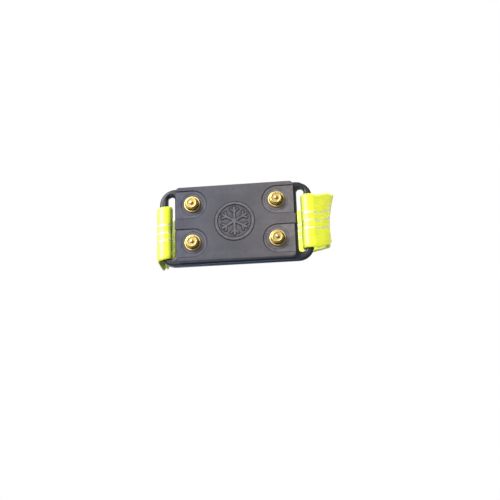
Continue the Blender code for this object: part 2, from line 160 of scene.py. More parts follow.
# Strap
STRAP_WIDTH = 35.0
PLY = 1.44  # thickness of the webbing
PATCH_WIDTH = 32.0
FOLD_RADIUS = 4.1
FOLD_END = 318  # degrees about the right bar
LEFT_FOLD_X = -46.1
LEFT_FOLD_REACH = 4.5
LEFT_PINCH = 1.0
LEVEL_HEIGHT = 2.0  # the webbing's cross lines stay parallel to the bars up to here
PLY_STEP = 2.2
PATCH_STEP = 1.65
HOOK_STEP = 1.4
TAB_STEP = 2 * PATCH_STEP + HOOK_STEP
CLOSURE_START = Vector((57.0, -15.5, 58.0))
LEG_START = Vector((58.0, -2.7, 4.0))  # where the closing leg begins, outside the right bar
SHOULDER = Vector((50.0, -22.0, 98.0))
TAB_END = Vector((-16.0, -24.0, 122.0))
LOOP_END = Vector((-36.0, -22.0, 114.0))
TAB_BEND = 7  # steps of the webbing on each side of the tab's hinge, made as their own piece between the leg and the tab
YARN_PITCH = 5.1  # between the three reflective yarns
YARN_WIDTH = 0.96
YARN_DIP_PITCH = 3.1
WARP_PITCH = 0.95
WEFT_PITCH = 1.25

CORNERS = {
    "toe_left": (-26.75, -12.6), "toe_right": (26.75, -12.6),
    "heel_left": (-26.75, 12.6), "heel_right": (26.75, 12.6),
}


# ---- camera, light and floor


def placed(name, data):
    """A new object in the scene."""
    made = bpy.data.objects.new(name, data)
    bpy.context.scene.collection.objects.link(made)
    return made


def make_camera():
    data = bpy.data.cameras.new("camera")
    data.lens = 52.16
    data.sensor_width = 36.0
    camera = placed("camera", data)
    camera.location = (0.05119, 0.12867, -0.44621)
    camera.rotation_euler = [math.radians(turn) for turn in (-166.117, -5.995, 1.862)]
    bpy.context.scene.camera = camera
    bpy.context.scene.view_settings.view_transform = "Standard"


def area_light(name, place, power, size, colour, aim=(0.0, 0.0, 0.0), height=None, gloss_only=False):
    """A square light, or a rectangle if it has a height. A gloss-only one only makes highlights."""
    data = bpy.data.lights.new(name, "AREA")
    data.energy = power
    data.color = colour
    data.size = size
    if height:
        data.shape = "RECTANGLE"
        data.size_y = height
    light = placed(name, data)
    light.location = place
    light.rotation_euler = (Vector(aim) - Vector(place)).to_track_quat("-Z", "Y").to_euler()
    light.visible_diffuse = not gloss_only
    light.visible_camera = False
    return light


def make_world():
    """White where the camera sees it. Its light is paler from the side of the toe and the left."""
    world = bpy.data.worlds.new("studio")
    bpy.context.scene.world = world
    world.use_nodes = True
    tree = world.node_tree
    tree.nodes.clear()
    seen = node(tree, "Background", i0=(1.0, 1.0, 1.0, 1.0), i1=1.0)
    way = node(tree, "TexCoord").outputs["Generated"]
    facing = node(tree, "VectorMath", {"operation": "DOT_PRODUCT"}, i0=way, i1=(-0.62, -0.62, -0.1))
    share = maths(tree, "MULTIPLY_ADD", facing.outputs["Value"], 0.5, 0.5)
    glow = ramp(tree, share, (0.15, (0.16, 0.18, 0.23)), (0.85, (0.84, 0.85, 0.86)))
    light = node(tree, "Background", i0=glow, i1=0.62)
    path = node(tree, "LightPath")
    both = node(tree, "MixShader", i0=path.outputs["Is Camera Ray"], i1=light.outputs[0], i2=seen.outputs[0])
    node(tree, "OutputWorld", i0=both.outputs[0])


def make_stage():
    """A pale floor under the studs. It is clear from below, where the main camera is."""
    mesh = bpy.data.meshes.new("floor")
    signs = ((-1, -1), (1, -1), (1, 1), (-1, 1))
    mesh.from_pydata([(4.0 * x, 4.0 * y, GROUND * MM - 0.0001) for x, y in signs], [], [(0, 1, 2, 3)])
    floor = placed("floor", mesh)
    floor.visible_shadow = floor.visible_diffuse = floor.visible_glossy = False
    made, tree, shader, place = blank_material("floor_pale", Roughness=0.8)
    colour = ramp(tree, noise(tree, place, 3.0, 4.0), (0.3, (0.80, 0.80, 0.79)), (0.7, (0.84, 0.84, 0.83)))
    wire(tree, shader, Base_Color=colour)
    clear = node(tree, "BsdfTransparent")
    # It fades into the white studio a little way off.
    faded = ramp(tree, from_axis(tree, place), (0.16, 0.0), (0.55, 1.0))
    side = maths(tree, "MAXIMUM", node(tree, "NewGeometry").outputs["Backfacing"], faded)
    both = node(tree, "MixShader", i0=side, i1=shader.outputs[0], i2=clear.outputs[0])
    tree.links.new(both.outputs[0], tree.nodes["Material Output"].inputs["Surface"])
    mesh.materials.append(made)
    floor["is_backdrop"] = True


def make_lights():
    """The studio lights. The two glints are returned, to be kept to a few pieces once those are made."""
    # From below, for the face with the studs
    area_light("key_below", (-0.62, -0.52, -0.85), 20.0, 0.5, (0.97, 0.98, 1.0))
    warm = area_light("warm_below", (0.33, 0.04, -0.30), 1.9, 0.22, (1.0, 0.88, 0.72), aim=(0.03, 0.0, 0.0))
    warm.visible_glossy = False
    # From above, for the strap and the sides
    area_light("key_above", (0.55, -0.95, 1.05), 17.0, 0.7, (1.0, 0.98, 0.95), aim=(0.0, 0.0, 0.04))
    area_light("fill_above", (-0.75, 0.9, 0.9), 11.0, 0.9, (0.92, 0.96, 1.0), aim=(0.0, 0.0, 0.04))
    sun = area_light("glint_left", (-0.78, -0.30, -0.62), 21.0, 0.8, (1.0, 0.99, 0.96), gloss_only=True)
    sky = area_light(
        "glint_heel", (-0.114, 0.9, -0.42), 5.5, 0.11, (0.26, 0.44, 1.0), height=0.35, gloss_only=True
    )
    return sun, sky


def only_on(light, names):
    """Keeps a light to the pieces whose names start with one of these."""
    lit = bpy.data.collections.new(light.name)
    for piece in bpy.context.scene.objects:
        if piece.name.startswith(names):
            lit.objects.link(piece)
    light.light_linking.receiver_collection = lit


# ---- material nodes


def node(tree, kind, settings=None, **inputs):
    """A shader node. An input is a value or a socket, by name or, as i0, i1 and so on, by place."""
    made = tree.nodes.new("ShaderNode" + kind)
    for name, value in (settings or {}).items():
        setattr(made, name, value)
    for name, value in inputs.items():
        socket = made.inputs[int(name[1:]) if name[0] == "i" and name[1:].isdigit() else name]
        if isinstance(value, bpy.types.NodeSocket):
            tree.links.new(value, socket)
        else:
            socket.default_value = value
    return made


def maths(tree, operation, first, second=0.5, third=0.5):
    return node(tree, "Math", {"operation": operation}, i0=first, i1=second, i2=third).outputs[0]


def product(tree, first, second):
    return maths(tree, "MULTIPLY", first, second)


def wave(tree, place, length):
    """A sine wave along a coordinate, with its wavelength in millimetres."""
    return maths(tree, "SINE", product(tree, place, 2 * math.pi / (length * MM)))


def from_axis(tree, place):
    """How far a place is from the vertical axis."""
    parts = node(tree, "SeparateXYZ", i0=place)
    x_squared, y_squared = (maths(tree, "POWER", parts.outputs[i], 2.0) for i in (0, 1))
    return maths(tree, "SQRT", maths(tree, "ADD", x_squared, y_squared))


def noise(tree, place, scale, detail=2.0, roughness=0.5):
    return node(tree, "TexNoise", Vector=place, Scale=scale, Detail=detail, Roughness=roughness).outputs[0]


def stretched(tree, place, scale):
    return node(tree, "Mapping", Vector=place, Scale=scale).outputs[0]


def ramp(tree, share, *stops):
    """Colour or grey from two stops of (place, colour or number)."""
    made = node(tree, "ValToRGB", Fac=share)
    for element, (place, value) in zip(made.color_ramp.elements, stops):
        element.position = place
        element.color = (value, value, value, 1.0) if isinstance(value, (int, float)) else (*value, 1.0)
    return made.outputs[0]


def mixed(tree, share, first, second, blend="MIX"):
    """A mix of two colours. Its colour sockets are the Mix node's seventh and eighth inputs."""
    first, second = (c if isinstance(c, bpy.types.NodeSocket) else (*c, 1.0) for c in (first, second))
    settings = {"data_type": "RGBA", "blend_type": blend}
    return node(tree, "Mix", settings, i0=share, i6=first, i7=second).outputs[2]


def bump(tree, height, distance, strength=1.0, under=None):
    """A bumped normal. The distance is in millimetres."""
    made = node(tree, "Bump", Height=height, Distance=distance * MM, Strength=strength)
    if under:
        tree.links.new(under, made.inputs["Normal"])
    return made.outputs[0]


def attribute(tree, name, output="Fac"):
    return node(tree, "Attribute", {"attribute_name": name}).outputs[output]


def wire(tree, shader, **sockets):
    """Links sockets to the shader's inputs, named with _ for a space."""
    for name, socket in sockets.items():
        tree.links.new(socket, shader.inputs[name.replace("_", " ")])


def blank_material(name, **values):
    """(material, tree, shader, object coordinates) with constants set on the shader's own sockets."""
    made = bpy.data.materials.new(name)
    made.use_nodes = True
    tree = made.node_tree
    shader = tree.nodes["Principled BSDF"]
    for socket, value in values.items():
        shader.inputs[socket.replace("_", " ")].default_value = value
    return made, tree, shader, node(tree, "TexCoord").outputs["Object"]


def times(factor, colour):
    return tuple(factor * c for c in colour)


def rubber_material(name, dark, light, roughness, grain, grain_height, worn=0.0, shine=0.42):
    """Moulded rubber with a fine spark grain, cloudy colour and small scuffs.

    Where worn is above 0, the mesh's attributes say where it is rubbed paler and where painted shade darkens
    it, and painted light makes the right end paler and warmer than the left.
    """
    made, tree, shader, place = blank_material(name, Specular_IOR_Level=shine)
    cloud = noise(tree, place, 45.0, 6.0, 0.62)
    colour = ramp(tree, cloud, (0.32, dark), (0.68, light))
    specks = ramp(tree, noise(tree, place, 1500.0, 2.0), (0.66, 0.0), (0.76, 1.0))
    colour = mixed(tree, product(tree, specks, 0.16), colour, times(2.1, light))
    scuff = noise(tree, stretched(tree, place, (1.0, 4.2, 1.0)), 210.0, 5.0, 0.7)
    scuff = ramp(tree, scuff, (0.60, 0.0), (0.72, 1.0))
    colour = mixed(tree, product(tree, scuff, 0.22), colour, times(1.7, light))
    if worn:
        patches = ramp(tree, noise(tree, place, 320.0, 4.0), (0.35, 0.25), (0.65, 1.0))
        rub = product(tree, attribute(tree, "worn"), patches)
        colour = mixed(tree, product(tree, rub, worn), colour, times(2.6, light))
        # Painted shade: darker where the mesh's shade attribute says.
        colour = mixed(tree, product(tree, attribute(tree, "painted_shade"), 0.85), colour, times(0.16, dark))
        # Painted light: the colour is painted paler and warmer towards the right end, and darker and cooler
        # towards the left.
        from_left = node(tree, "SeparateXYZ", i0=place).outputs[0]
        drift = maths(tree, "MULTIPLY_ADD", noise(tree, place, 30.0, 3.0), 0.02, from_left)
        share = maths(tree, "MULTIPLY_ADD", drift, 13.0, 0.37)
        side_light_paint = ramp(tree, share, (0.0, (0.60, 0.62, 0.73)), (1.0, (1.0, 0.93, 0.84)))
        colour = mixed(tree, 1.0, colour, side_light_paint, "MULTIPLY")
    rough = ramp(tree, noise(tree, place, 90.0, 4.0), (0.3, roughness - 0.07), (0.7, roughness + 0.08))
    fine = noise(tree, place, grain, 3.0, 0.6)
    soft = noise(tree, place, grain * 0.22, 3.0, 0.5)
    normal = bump(tree, soft, grain_height * 1.6, 0.5)
    normal = bump(tree, fine, grain_height, 0.75, normal)
    wire(tree, shader, Base_Color=colour, Roughness=rough, Normal=normal)
    return made


def metal_material(name, dark, light, roughness, tarnish=None, turned=0.0, paints_shade=False):
    """Machined or plated metal with fine scratches, a cloudy colour and, on turned pieces, tool rings."""
    made, tree, shader, place = blank_material(name, Metallic=1.0)
    colour = ramp(tree, noise(tree, place, 260.0, 4.0, 0.5), (0.30, dark), (0.70, light))
    if tarnish:
        spots = ramp(tree, noise(tree, place, 700.0, 4.0, 0.6), (0.56, 0.0), (0.72, 1.0))
        colour = mixed(tree, product(tree, spots, 0.30), colour, tarnish)
    scratch = noise(tree, stretched(tree, place, (1.0, 7.0, 2.0)), 900.0, 4.0, 0.7)
    rough = ramp(tree, scratch, (0.3, roughness - 0.03), (0.7, roughness + 0.05))
    # Painted shade darkens the metal where the mesh's shade attribute says; it is rougher there too.
    if paints_shade:
        shade_paint = attribute(tree, "painted_shade")
        colour = mixed(tree, product(tree, shade_paint, 0.75), colour, (0.07, 0.042, 0.016))
        rough = maths(tree, "MULTIPLY_ADD", shade_paint, 0.3, rough)
    normal = bump(tree, scratch, 0.004, 0.4)
    if turned:
        normal = bump(tree, wave(tree, from_axis(tree, place), 0.22), turned, 0.6, normal)
    wire(tree, shader, Base_Color=colour, Roughness=rough, Normal=normal)
    return made


def webbing_material():
    """Hi-vis polyester webbing. The cloth attribute holds places along and across it, in metres."""
    made, tree, shader, place = blank_material(
        "webbing_hi_vis", Specular_IOR_Level=0.85, Sheen_Weight=0.35, Sheen_Roughness=0.4,
        Sheen_Tint=(1.0, 1.0, 0.75, 1.0),
    )
    cloth = attribute(tree, "cloth", "Vector")
    parts = node(tree, "SeparateXYZ", i0=cloth)
    along, aside = parts.outputs[0], parts.outputs[1]
    warp = wave(tree, aside, 2 * WARP_PITCH)
    cross = product(tree, warp, wave(tree, along, WEFT_PITCH))
    ribs = maths(tree, "ABSOLUTE", warp)
    weave = maths(tree, "MULTIPLY_ADD", cross, 0.32, product(tree, ribs, 0.55))
    shade = noise(tree, stretched(tree, cloth, (60.0, 900.0, 1.0)), 1.0, 4.0, 0.6)
    colour = ramp(tree, shade, (0.3, (0.64, 0.75, 0.020)), (0.7, (0.76, 0.85, 0.045)))
    deep = ramp(tree, weave, (0.0, 1.0), (0.42, 0.0))
    colour = mixed(tree, product(tree, deep, 0.42), colour, (0.30, 0.47, 0.008))
    dirt = ramp(tree, noise(tree, place, 38.0, 7.0, 0.7), (0.56, 0.0), (0.74, 1.0))
    colour = mixed(tree, product(tree, dirt, 0.10), colour, (0.22, 0.24, 0.07))
    # Three reflective yarns float over the weave and dip under it now and then.
    near = maths(tree, "ABSOLUTE", maths(tree, "WRAP", aside, YARN_PITCH / 2 * MM, -YARN_PITCH / 2 * MM))
    on_yarn = maths(tree, "LESS_THAN", near, YARN_WIDTH / 2 * MM)
    in_middle = maths(tree, "LESS_THAN", maths(tree, "ABSOLUTE", aside), 1.4 * YARN_PITCH * MM)
    dips = maths(tree, "MULTIPLY_ADD", wave(tree, along, YARN_DIP_PITCH), 0.5, 0.5)
    over = ramp(tree, dips, (0.0, 0.0), (0.06, 1.0))
    yarn = product(tree, product(tree, on_yarn, in_middle), over)
    colour = mixed(tree, yarn, colour, (0.66, 0.80, 0.66))
    rough = maths(tree, "MULTIPLY_ADD", yarn, -0.16, ramp(tree, shade, (0.3, 0.34), (0.7, 0.46)))
    normal = bump(tree, weave, 0.16, 0.8)
    fuzz = noise(tree, stretched(tree, cloth, (1.0, 3.0, 1.0)), 2600.0, 2.0)
    normal = bump(tree, fuzz, 0.05, 0.5, normal)
    normal = bump(tree, yarn, 0.18, 0.7, normal)
    metallic = product(tree, yarn, 0.3)
    wire(tree, shader, Base_Color=colour, Metallic=metallic, Roughness=rough, Normal=normal)
    return made


def thread_material():
    """Sewing thread. The twist attribute counts its turns."""
    made, tree, shader, place = blank_material("thread_lime", Sheen_Weight=0.3, Specular_IOR_Level=0.4)
    twist = maths(tree, "SINE", product(tree, attribute(tree, "twist"), 2 * math.pi))
    shade = maths(tree, "MULTIPLY_ADD", twist, 0.3, 0.5)
    colour = ramp(tree, shade, (0.1, (0.34, 0.50, 0.012)), (0.8, (0.66, 0.80, 0.06)))
    rough = ramp(tree, noise(tree, place, 900.0), (0.3, 0.5), (0.7, 0.68))
    wire(tree, shader, Base_Color=colour, Roughness=rough, Normal=bump(tree, twist, 0.06, 0.8))
    return made


def pile_material(name, scale, height):
    """The closure's napped or hooked tape."""
    made, tree, shader, place = blank_material(
        name, Sheen_Weight=0.5, Sheen_Roughness=0.55, Specular_IOR_Level=0.25
    )
    tuft = noise(tree, place, scale, 4.0, 0.7)
    colour = ramp(tree, tuft, (0.3, (0.006, 0.006, 0.007)), (0.75, (0.045, 0.046, 0.05)))
    lint = ramp(tree, noise(tree, place, 420.0, 5.0, 0.75), (0.66, 0.0), (0.78, 1.0))
    colour = mixed(tree, product(tree, lint, 0.35), colour, (0.20, 0.20, 0.19))
    rough = ramp(tree, tuft, (0.2, 0.75), (0.8, 0.95))
    wire(tree, shader, Base_Color=colour, Roughness=rough, Normal=bump(tree, tuft, height, 0.9))
    return made


# ---- meshes


def finished(name, vertices, faces, look, nodes, body="cleat", attributes=(), smooth=None):
    """An object from points in millimetres, on its body and standing for its CAD nodes."""
    mesh = bpy.data.meshes.new(name)
    mesh.from_pydata([tuple(c * MM for c in v) for v in vertices], [], faces)
    for title, kind, values in attributes:
        field = "value" if kind == "FLOAT" else "vector"
        made = mesh.attributes.new(title, kind, "POINT")
        made.data.foreach_set(field, np.asarray(values, np.float32).ravel())
    mesh.update()
    mesh.shade_smooth()
    if smooth:
        mesh.set_sharp_from_angle(angle=math.radians(smooth))
    mesh.materials.append(look)
    obj = placed(name, mesh)
    if body:
        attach(obj, body)
    if nodes:
        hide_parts(*nodes)
    return obj


class Outline:
    """A rounded rectangle: how far places are from its edge, and loops at an offset from it."""

    def __init__(self, half_x, half_y, corner, centre=(0.0, 0.0), turn=0.0):
        self.half_x, self.half_y, self.corner = half_x, half_y, corner
        self.centre = centre
        self.turn = math.cos(math.radians(turn)), math.sin(math.radians(turn))

    def distance(self, x, y):
        dx, dy = x - self.centre[0], y - self.centre[1]
        cos, sin = self.turn
        u = np.abs(dx * cos + dy * sin) - self.half_x + self.corner
        v = np.abs(dy * cos - dx * sin) - self.half_y + self.corner
        outer = np.hypot(np.maximum(u, 0), np.maximum(v, 0))
        return outer + np.minimum(np.maximum(u, v), 0) - self.corner

    def loop(self, grow=0.0, steps=8):
        half_x, half_y = self.half_x + grow, self.half_y + grow
        corner = max(self.corner + grow, 0.0)
        cos, sin = self.turn
        points = []
        for quarter, (sx, sy) in enumerate(((1, 1), (-1, 1), (-1, -1), (1, -1))):
            for i in range(steps + 1 if corner else 1):
                angle = math.pi / 2 * (quarter + i / steps)
                x = sx * (half_x - corner) + corner * math.cos(angle)
                y = sy * (half_y - corner) + corner * math.sin(angle)
                place = (self.centre[0] + x * cos - y * sin, self.centre[1] + x * sin + y * cos)
                if not points or math.dist(place, points[-1]) > 1e-4:
                    points.append(place)
        if math.dist(points[0], points[-1]) < 1e-4:
            points.pop()
        return points


def circle(radius, centre=(0.0, 0.0)):
    return Outline(radius, radius, radius, centre)


def sheet_of(loops, height, kept):
    """A conforming triangle sheet over the loops: (points, triangles) where kept(x, y) holds."""
    flat, edges = [], []
    for loop in loops:
        first = len(flat)
        flat += [Vector(p) for p in loop]
        edges += [(first + i, first + (i + 1) % len(loop)) for i in range(len(loop))]
    points, _, faces, *_ = delaunay_2d_cdt(flat, edges, [], 0, 1e-5)
    xy = np.array([tuple(p) for p in points])
    triangles = [f for f in faces if len(f) == 3]
    middles = xy[np.array(triangles)].mean(axis=1)
    keep = kept(middles[:, 0], middles[:, 1])
    triangles = [t for t, k in zip(triangles, keep) if k]
    used = sorted({i for t in triangles for i in t})
    new = {old: i for i, old in enumerate(used)}
    xy = xy[used]
    z = height(xy[:, 0], xy[:, 1])
    return np.column_stack([xy, z]), [tuple(new[i] for i in t) for t in triangles]


def border_edges(triangles):
    """Directed edges that only one triangle has."""
    seen = dict.fromkeys(edge for t in triangles for edge in zip(t, t[1:] + t[:1]))
    return [(a, b) for a, b in seen if (b, a) not in seen]


def slab(bottom, top=None, back=None):
    """(points, faces) of a body between a lower sheet and an upper one on the same border, or a flat back."""
    points, low = bottom
    faces = [t[::-1] for t in low]
    border = border_edges(low)
    if top is None:
        ring = sorted({a for edge in border for a in edge})
        other = {a: len(points) + i for i, a in enumerate(ring)}
        points = np.vstack([points, [(points[a][0], points[a][1], back) for a in ring]])
        follow, at, cap = dict(border), border[0][0], []
        while not cap or at != border[0][0]:
            cap.append(other[at])
            at = follow[at]
        if len(cap) == len(border):
            faces.append(tuple(cap))
    else:
        high_points, high = top
        shift = len(points)
        faces += [tuple(i + shift for i in t) for t in high]
        places = {tuple(np.round(p[:2], 3)): i + shift for i, p in enumerate(high_points)}
        other = {a: places[tuple(np.round(points[a][:2], 3))] for edge in border for a in edge}
        points = np.vstack([points, high_points])
    faces += [(a, b, other[b], other[a]) for a, b in border]
    return points, faces


def band(start, count):
    """Faces between the ring of points that starts at an index and the ring after it."""
    for i in range(count):
        a, b = start + i, start + (i + 1) % count
        yield a, b, b + count, a + count


def eased(share):
    share = np.clip(share, 0.0, 1.0)
    return share * share * (3 - 2 * share)


def rounded(distance, radius):
    """How far the surface falls back at a distance inside an edge of that radius."""
    share = np.clip(1 + distance / radius, 0.0, 1.0)
    return radius * (1 - np.sqrt(1 - share * share))


def rounding_loops(outline, radius, outside=1, steps=5):
    """Loops across a rounded edge, closer together where it is steep. outside is -1 round a hole."""
    for i in range(steps + 1):
        yield outline.loop(-outside * radius * (1 - math.cos(math.pi / 2 * i / steps)))


# ---- rubber pieces


def moulded(node_name, points, faces, look, attributes=()):
    """The finer version of one CAD node, with normals that keep its flat faces flat."""
    name = node_name + "_moulded"
    made = finished(name, points, faces, look, [node_name], attributes=attributes, smooth=50)
    modifier = made.modifiers.new("weighted normals", "WEIGHTED_NORMAL")
    modifier.keep_sharp = True
    modifier.weight = 60


def nearest(outlines, x, y):
    """Signed distance from the nearest of the outlines."""
    return np.minimum.reduce([outline.distance(x, y) for outline in outlines])


def edge_of(outlines, x, y):
    """Distance from the nearest of the outlines' edges, on either side."""
    return np.minimum.reduce([np.abs(outline.distance(x, y)) for outline in outlines])


def bell(distance, width):
    return np.exp(-((distance / width) ** 2))


def make_block(look):
    body = Outline(*BLOCK_HALF, BLOCK_CORNER)
    tabs = [Outline(*END_TAB_HALF, 0.5, (side * END_TAB_X, 0.0)) for side in (-1, 1)]
    recesses, rings, holes = [], [], []
    for x, y in CORNERS.values():
        side = math.copysign(1, x)
        outer, inner = side * RECESS_END_X, x - side * RECESS_RADIUS
        middle = ((outer + inner) / 2, y)
        recesses.append(Outline(abs(outer - inner) / 2, RECESS_RADIUS, RECESS_RADIUS - 0.01, middle))
        rings.append(circle(RING_RADIUS, (x, y)))
        holes.append(circle(STUD_HOLE_RADIUS, (x, y)))
    border_out, border_in = circle(EMBLEM_RADIUS), circle(EMBLEM_INNER_RADIUS)
    arms = star_arms()
    mark = circle(MARK_RADIUS, (MARK_X, 0.0))

    def outside(x, y):
        return nearest([body, *tabs], x, y)

    def raised(x, y):
        border = np.maximum(border_out.distance(x, y), -border_in.distance(x, y))
        return np.minimum(border, nearest(arms, x, y))

    def height(x, y):
        z = BLOCK_FACE + rounded(outside(x, y), BLOCK_ROUNDING)
        down = eased((RECESS_WALL - nearest(recesses, x, y)) / (2 * RECESS_WALL))
        z = np.maximum(z, BLOCK_FACE + RECESS_DEPTH * down)
        z = z + GROOVE_DEPTH * (1 - eased(edge_of(rings, x, y) / RING_WIDTH))
        z = z + GROOVE_DEPTH / 2 * (1 - eased(edge_of([mark], x, y) / MARK_WIDTH))
        emblem = raised(x, y)
        z = z + GROOVE_DEPTH * (1 - eased(np.abs(emblem - 0.26) / 0.26))
        return z - EMBLEM_HEIGHT * eased(-emblem / 0.36)

    def kept(x, y):
        return (outside(x, y) < 0) & (nearest(holes, x, y) > 0)

    loops = [*rounding_loops(body, BLOCK_ROUNDING)]
    loops += [tab.loop(-inset, 3) for tab in tabs for inset in (0.0, 0.2, 0.45, 0.8)]
    shares = (-3.6, -2.2, -1.5, -1.0, -0.5, 0.0, 0.5, 1.0)
    loops += [recess.loop(RECESS_WALL * share, 14) for recess in recesses for share in shares]
    loops += [ring.loop(grow, 14) for ring in rings for grow in (-0.45, -0.22, 0.0, 0.22, 0.45)]
    loops += [hole.loop() for hole in holes]
    loops += [mark.loop(grow, 6) for grow in (-0.4, -0.2, 0.0, 0.2, 0.4)]
    for inset in (-0.52, -0.26, 0.0, 0.12, 0.24, 0.36):
        loops += [border_out.loop(-inset, 16), border_in.loop(inset, 16)]
        loops += [arm.loop(-inset) for arm in arms if arm.half_y > inset]
    points, faces = sheet_of(loops, height, kept)
    x, y = points[:, 0], points[:, 1]
    walls = nearest(recesses, x, y)
    # Wear is on the block's edges, the emblem and the recesses' lips, and the recess floors are made paler
    # too, more thinly.
    worn = np.maximum.reduce([
        0.8 * np.exp(-np.abs(outside(x, y) + 0.3) / 0.35),
        0.9 * eased(-raised(x, y) / 0.2),
        0.6 * np.exp(-np.abs(walls - 0.15) / 0.12),
        0.8 * eased((-walls - 0.3) / 0.5),
    ])
    # Painted shade lies along the foot of the recess walls, in the rings and round the raised emblem.
    painted_shade = np.maximum.reduce([
        0.85 * bell(walls + 0.16, 0.22),
        0.22 * bell(edge_of(rings, x, y), 0.22),
        0.70 * bell(raised(x, y) - 0.24, 0.20),
    ])
    points, faces = slab((points, faces), back=BLOCK_TOP)
    # The hidden back, against the frame, is painted dark as shade between the parts.
    behind = np.ones(len(points) - len(worn))
    worn, painted_shade = np.append(worn, 0 * behind), np.append(painted_shade, 0.7 * behind)
    attributes = [("worn", "FLOAT", worn), ("painted_shade", "FLOAT", painted_shade)]
    moulded("tread_block", points, faces, look, attributes)


def star_arms():
    """Outlines of the emblem's three crossing bars and the chevrons near their ends."""
    arms = [Outline(*ARM_HALF, 0.0, turn=90 + 60 * i) for i in range(3)]
    for i in range(6):
        turn = math.radians(90 + 60 * i)
        for way in (turn - BARB_LEAN, turn + BARB_LEAN):
            centre = (
                BARB_FAR * math.cos(turn) + BARB_HALF[0] * math.cos(way),
                BARB_FAR * math.sin(turn) + BARB_HALF[0] * math.sin(way),
            )
            arms.append(Outline(*BARB_HALF, 0.0, centre, math.degrees(way)))
    return arms


def make_frame(look):
    outer = Outline(*FRAME_HALF, FRAME_CORNER, (0.0, FRAME_SETBACK))
    slots = [Outline(*SLOT_HALF, SLOT_CORNER, (side * (BAR_X - SLOT_INSET), 0.0)) for side in (-1, 1)]
    pocket = Outline(*POCKET_HALF, POCKET_CORNER)
    holes = [circle(NUT_HOLE_RADIUS, place) for place in CORNERS.values()]

    def edge(x, y):
        return np.maximum(outer.distance(x, y), -nearest(slots, x, y))

    def kept(x, y):
        return (edge(x, y) < 0) & (nearest(holes, x, y) > 0)

    def low(x, y):
        return FRAME_BASE + rounded(edge(x, y), FRAME_ROUNDING)

    def high(x, y):
        sunk = (FRAME_TOP - WEB_TOP) * (pocket.distance(x, y) < -0.02)
        return FRAME_TOP - rounded(edge(x, y), FRAME_ROUNDING) - sunk

    loops = [*rounding_loops(outer, FRAME_ROUNDING, steps=7)]
    for slot in slots:
        loops += rounding_loops(slot, FRAME_ROUNDING, -1, steps=7)
    loops += [hole.loop() for hole in holes]
    bottom = sheet_of(loops, low, kept)
    top = sheet_of(loops + [pocket.loop(0.0, 6), pocket.loop(-0.04, 6)], high, kept)
    points, faces = slab(bottom, top)
    moulded("loop_frame", points, faces, look)


def make_pad(look):
    """The grip pad that bears on the shoe. Its relief is on top, so the slab's faces are turned round."""
    outer = Outline(*PAD_HALF, 2.7)
    rows = [side * GRIP_PITCH * (i + 0.5) for i in range(3) for side in (-1, 1)]
    grooves = [Outline(36.0, 0.65, 0.0, (0.0, y)) for y in rows]
    dimples = [
        circle(DIMPLE_RADIUS, (x, y))
        for x in np.arange(-30.0, 30.1, 6.0)
        for y in np.arange(-2 * GRIP_PITCH, 2.01 * GRIP_PITCH, GRIP_PITCH)
    ]

    def top(x, y):
        z = -rounded(outer.distance(x, y), 0.5)
        z = np.minimum(z, -GRIP_GROOVE_DEPTH * eased(-nearest(grooves, x, y) / 0.2))
        return z - DIMPLE_DEPTH * eased(-nearest(dimples, x, y) / DIMPLE_DEPTH)

    loops = [*rounding_loops(outer, 0.5, steps=4)]
    loops += [groove.loop(-inset) for groove in grooves for inset in (0.0, 0.1, 0.2)]
    loops += [dimple.loop(-inset, 3) for dimple in dimples for inset in (0.0, 0.18, 0.35)]
    points, faces = sheet_of(loops, top, lambda x, y: outer.distance(x, y) < 0)
    points, faces = slab((points, faces), back=PAD_BASE)
    moulded("sole_pad", points, [f[::-1] for f in faces], look)


# ---- studs and hidden steel


def stud_painted_shade(reach, z):
    """Painted shade: dark in the corner between the hexagon and the flange, and thinly in the cap's dish."""
    corner = math.exp(-(((reach - 4.15) / 0.35) ** 2)) * (1 - float(eased((-12.9 - z) / 0.9)))
    dish = 0.52 if reach < 2.9 and z < -15.5 else 0.0
    return max(corner, dish)


def lathe(name, rows, look, nodes, place, steps=72, painted_shade=lambda reach, z: 0.0):
    """A piece turned about its own vertical axis, from rows of (radius or radius function, height)."""
    points, faces, shade_paint = [], [], []
    for radius, z in rows:
        for i in range(steps):
            angle = 2 * math.pi * i / steps
            reach = radius(angle) if callable(radius) else radius
            points.append((reach * math.cos(angle), reach * math.sin(angle), z))
            # How much painted shade each point gets.
            shade_paint.append(painted_shade(reach, z))
    for row in range(len(rows) - 1):
        faces += band(row * steps, steps)
    faces.append(tuple(range(steps)))
    faces.append(tuple(range((len(rows) - 1) * steps, len(rows) * steps))[::-1])
    faces = [f[::-1] for f in faces]
    obj = finished(name, points, faces, look, None, None, [("painted_shade", "FLOAT", shade_paint)], smooth=32)
    obj.location = (place[0] * MM, place[1] * MM, 0.0)
    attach(obj, "cleat")
    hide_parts(*nodes)


